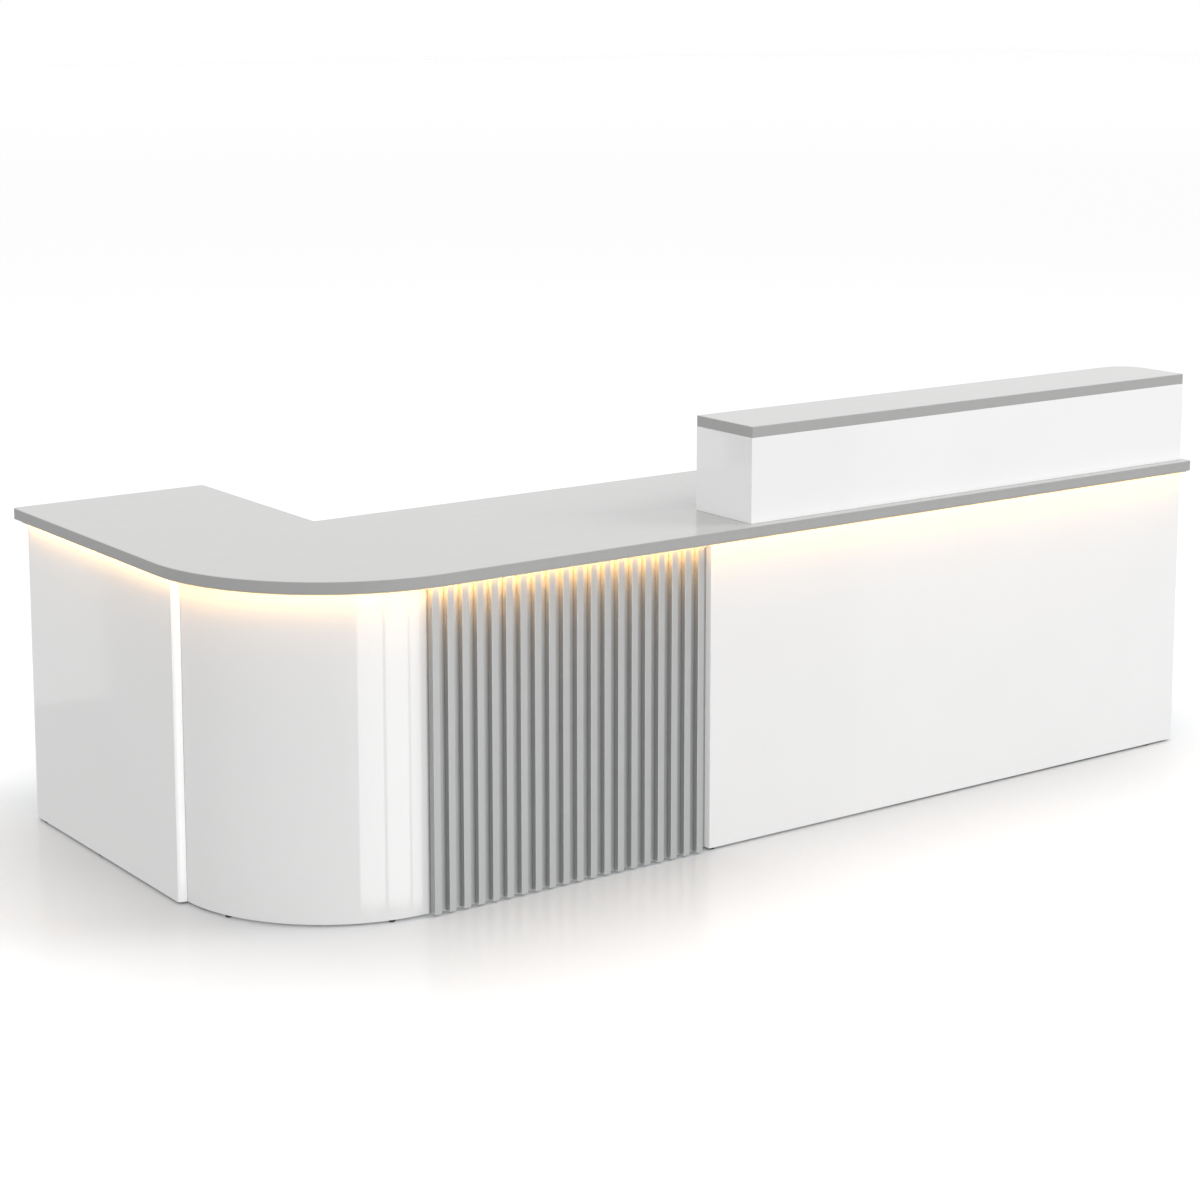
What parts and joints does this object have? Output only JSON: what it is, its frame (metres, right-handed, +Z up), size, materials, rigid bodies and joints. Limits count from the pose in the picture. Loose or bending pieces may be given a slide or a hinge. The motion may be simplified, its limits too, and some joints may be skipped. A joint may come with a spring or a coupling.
{
  "type": "reception desk",
  "caption": "L-shaped reception desk with a rounded front corner, slatted front, lit overhang, raised counter, and a staff-side cupboard with a drawer and a hinged door.",
  "frame": {"origin": "middle of the desk's footprint box, on the floor", "axes": "+X right along the front as a visitor sees it, +Y from the visitor's side to the staff's side, +Z up"},
  "size_m": [2.8, 1.22, 1],
  "materials": {
    "grey_laminate": "plain light-grey gloss laminate on board",
    "grey_edge_band": "plain grey satin edge band",
    "white_gloss_board": "white high-gloss lacquer on board",
    "grey_slat": "grey satin lacquer on board",
    "white_melamine": "white satin melamine on board",
    "light_sleeve": "milky silicone sleeve of a warm-white light strip",
    "driver_case": "plain aluminium case",
    "steel": "brushed steel",
    "black_plastic": "matt black plastic"
  },
  "bodies": {
    "desk": {"worktop": "grey_laminate", "counter_cap": "grey_laminate", "worktop_edge_band": "grey_edge_band", "counter_cap_edge_band": "grey_edge_band", "return_side_panel": "white_gloss_board", "corner_panel": "white_gloss_board", "front_panel": "white_gloss_board", "right_end_panel": "white_gloss_board", "return_end_panel": "white_gloss_board", "counter_front": "white_gloss_board", "counter_left_end": "white_gloss_board", "counter_right_end": "white_gloss_board", "slat_board": "grey_slat", "slat_01": "grey_slat", "slat_02": "grey_slat", "slat_03": "grey_slat", "slat_04": "grey_slat", "slat_05": "grey_slat", "slat_06": "grey_slat", "slat_07": "grey_slat", "slat_08": "grey_slat", "slat_09": "grey_slat", "slat_10": "grey_slat", "slat_11": "grey_slat", "slat_12": "grey_slat", "slat_13": "grey_slat", "slat_14": "grey_slat", "slat_15": "grey_slat", "slat_16": "grey_slat", "slat_17": "grey_slat", "slat_18": "grey_slat", "slat_19": "grey_slat", "slat_20": "grey_slat", "mid_support": "white_melamine", "mid_batten": "white_melamine", "cupboard_side": "white_melamine", "cupboard_base": "white_melamine", "cupboard_divider": "white_melamine", "led_strip": "light_sleeve", "led_driver": "driver_case", "drawer_runner_left": "steel", "drawer_runner_right": "steel", "door_pin_lower": "steel", "door_pin_upper": "steel", "foot_side_rear": "black_plastic", "foot_side_middle": "black_plastic", "foot_corner_left": "black_plastic", "foot_corner_right": "black_plastic", "foot_front_left": "black_plastic", "foot_front_right": "black_plastic", "foot_right_end": "black_plastic", "foot_cupboard_side": "black_plastic", "foot_return_end": "black_plastic", "foot_mid_support": "black_plastic"},
    "drawer": {"drawer_front": "white_gloss_board", "drawer_box": "white_melamine", "drawer_handle": "steel"},
    "door": {"cupboard_door": "white_gloss_board", "door_handle": "steel"}
  },
  "joints": [
    {"name": "drawer_slide", "type": "slide", "parent": "desk", "child": "drawer", "axis": [0, 1, 0], "range_m": [0, 0.36]},
    {"name": "door_hinge", "type": "hinge", "parent": "desk", "child": "door", "pos_m": [1.342, 0.016, 0.324], "axis": [0, 0, -1], "range_deg": [0, 110]}
  ]
}
